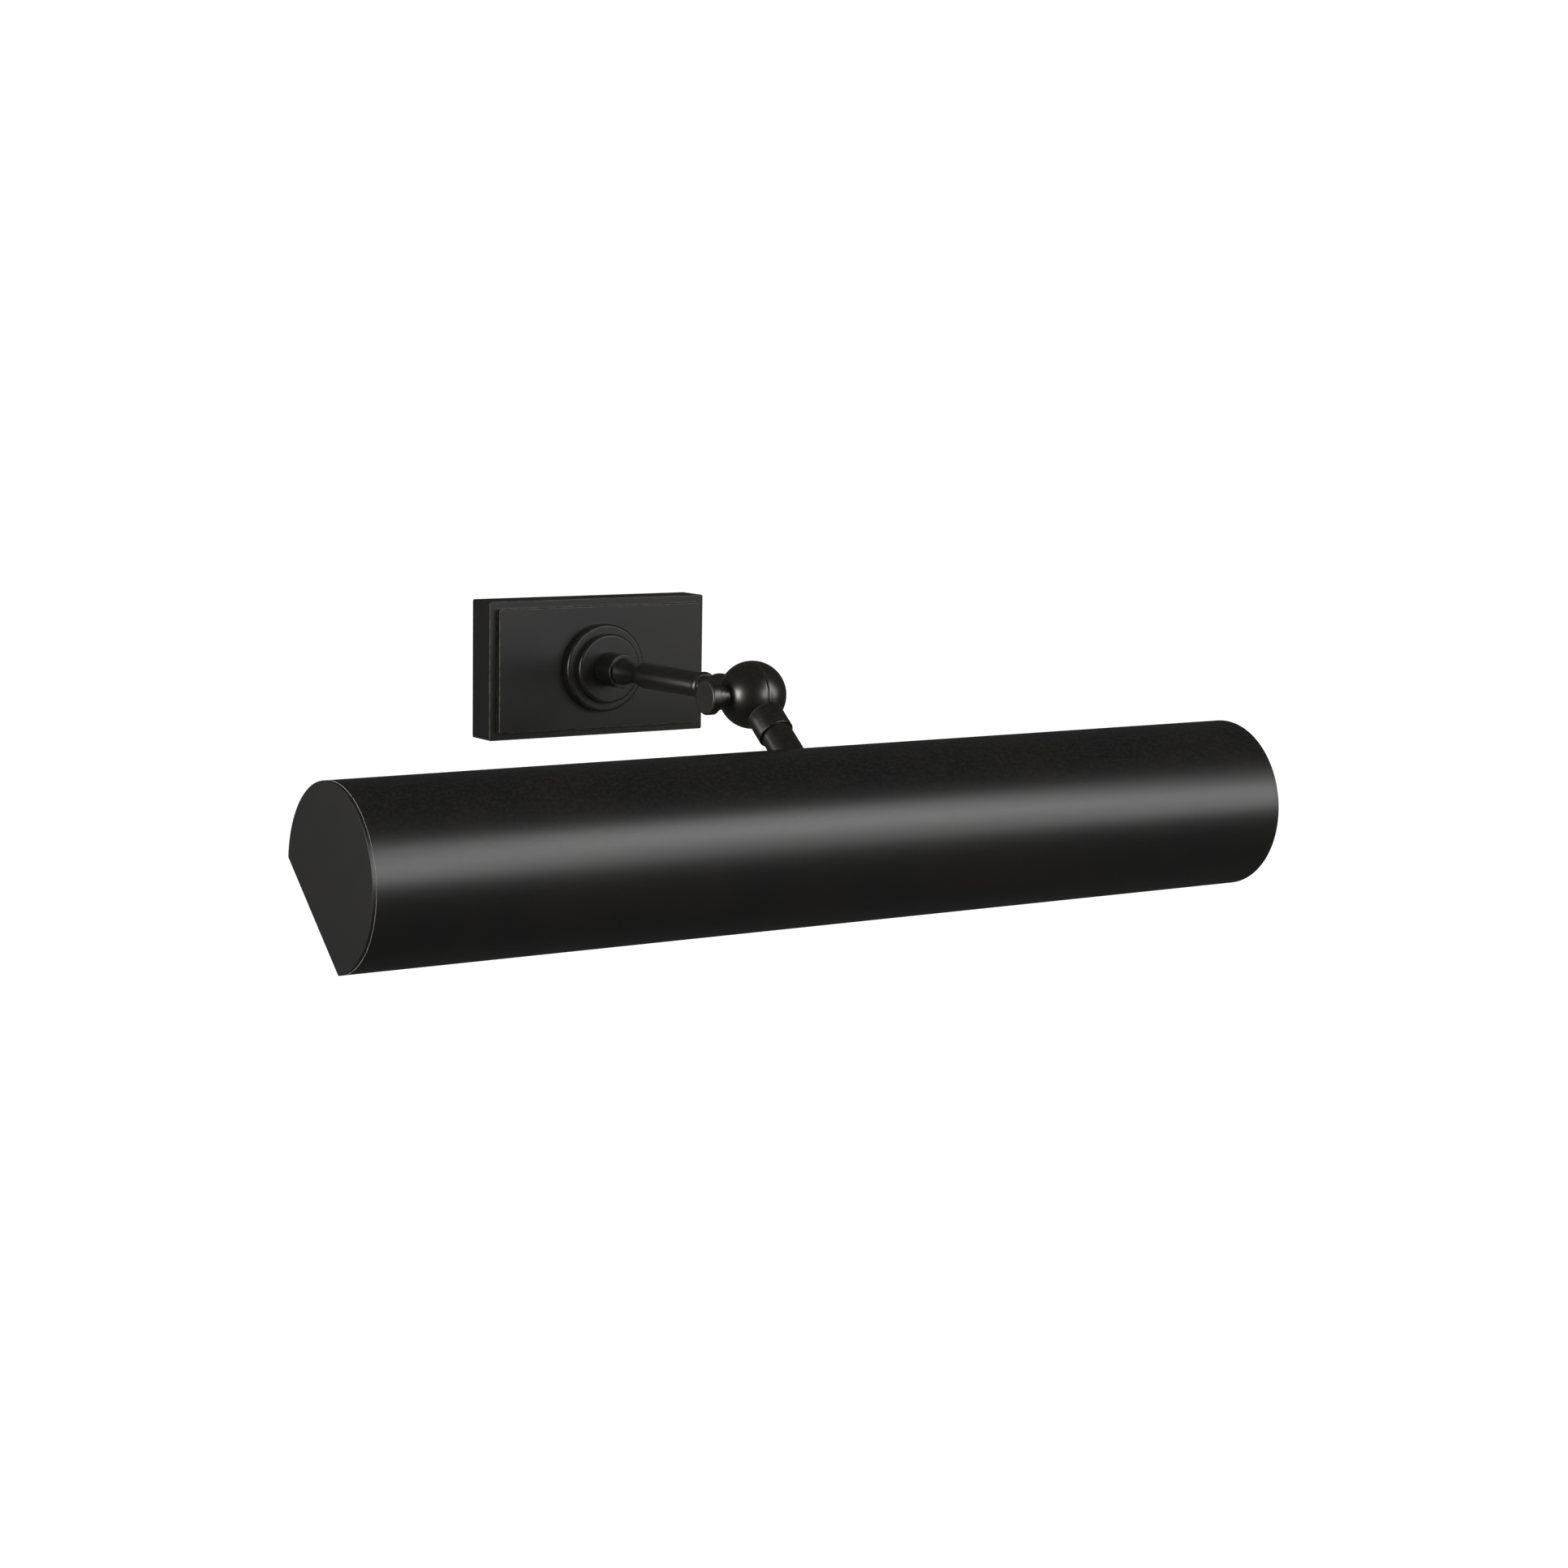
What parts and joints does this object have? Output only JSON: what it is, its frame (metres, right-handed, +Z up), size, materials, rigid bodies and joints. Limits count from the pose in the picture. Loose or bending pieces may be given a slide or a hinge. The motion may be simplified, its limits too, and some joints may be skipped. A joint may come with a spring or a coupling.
{
  "type": "picture light",
  "caption": "Wall-mounted picture light: box canopy, turned arm, clamped ball knuckle and a long tubular shade, open along one flat side, over two tubular lamps.",
  "frame": {"origin": "centre of the canopy's back rim, which is also the middle of the bracket's slotted screw pattern, on the wall plane", "axes": "+X along the shade, to the right for someone facing the wall; +Y into the wall; +Z up; the light stands out towards -Y"},
  "size_m": [0.457, 0.2421, 0.1252],
  "materials": {
    "aged_bronze": "satin dark bronze lacquer over brass, slightly rubbed on the edges",
    "shade_bronze": "satin dark bronze outside, warm white enamel inside",
    "zinc_steel": "zinc-plated, dull",
    "dark_steel": "blackened screw heads, satin",
    "ground_green": "green-dyed screw head",
    "brass": "plain brass, satin",
    "fibre": "vulcanised fibre, matt",
    "nylon": "natural nylon, matt",
    "socket_white": "moulded thermoset, matt",
    "orange_cap": "moulded, matt",
    "lead_black": "PVC insulation, black",
    "lead_white": "PVC insulation, white",
    "lead_green": "PVC insulation, green",
    "bulb_glass": "inside-frosted bulb glass",
    "filament": "glass mount and tungsten wire"
  },
  "bodies": {
    "root": {"canopy": "aged_bronze", "mounting_bracket": "zinc_steel", "canopy_screws": "dark_steel", "ground_screw": "ground_green", "ground_lead": "lead_green", "nipple": "brass", "nipple_nut": "zinc_steel", "nipple_lockwasher": "zinc_steel", "rosette_outer": "aged_bronze", "rosette_inner": "aged_bronze", "hub": "aged_bronze", "arm": "aged_bronze", "arm_lead_black": "lead_black", "arm_lead_white": "lead_white", "wire_connector_black": "orange_cap", "wire_connector_white": "orange_cap", "knuckle_arm_half": "aged_bronze", "friction_washer": "fibre"},
    "knob_carriage": {"knob_washer": "aged_bronze"},
    "knob": {"clamp_knob": "aged_bronze", "clamp_stud": "zinc_steel"},
    "shade_head": {"knuckle_shade_half": "aged_bronze", "stem": "aged_bronze", "stem_saddle": "zinc_steel", "stem_locknut": "zinc_steel", "stem_bushing": "nylon", "shade_shell": "shade_bronze", "end_cap_left": "shade_bronze", "end_cap_right": "shade_bronze", "socket_bracket": "zinc_steel", "socket_left": "socket_white", "socket_right": "socket_white", "socket_nuts": "zinc_steel", "socket_shell_left": "brass", "socket_shell_right": "brass", "socket_contact_left": "brass", "socket_contact_right": "brass", "bulb_glass_left": "bulb_glass", "bulb_glass_right": "bulb_glass", "bulb_base_left": "brass", "bulb_base_right": "brass", "bulb_tip_left": "zinc_steel", "bulb_tip_right": "zinc_steel", "filament_left": "filament", "filament_right": "filament", "lead_splices": "zinc_steel", "shade_leads_black": "lead_black", "shade_leads_white": "lead_white"}
  },
  "joints": [
    {"name": "shade_tilt", "type": "hinge", "parent": "root", "child": "shade_head", "pos_m": [0, -0.151, 0], "axis": [1, 0, 0], "range_deg": [-60, 60]},
    {"name": "knob_travel", "type": "slide", "parent": "root", "child": "knob_carriage", "axis": [-1, 0, 0], "range_m": [0, 0.0008]},
    {"name": "knob_spin", "type": "hinge", "parent": "knob_carriage", "child": "knob", "pos_m": [0, -0.151, 0], "axis": [1, 0, 0], "range_deg": [0, 360]}
  ],
  "couplings": [
    {"joint": "knob_spin", "follows": "knob_travel", "rad_per_m": 7854}
  ]
}
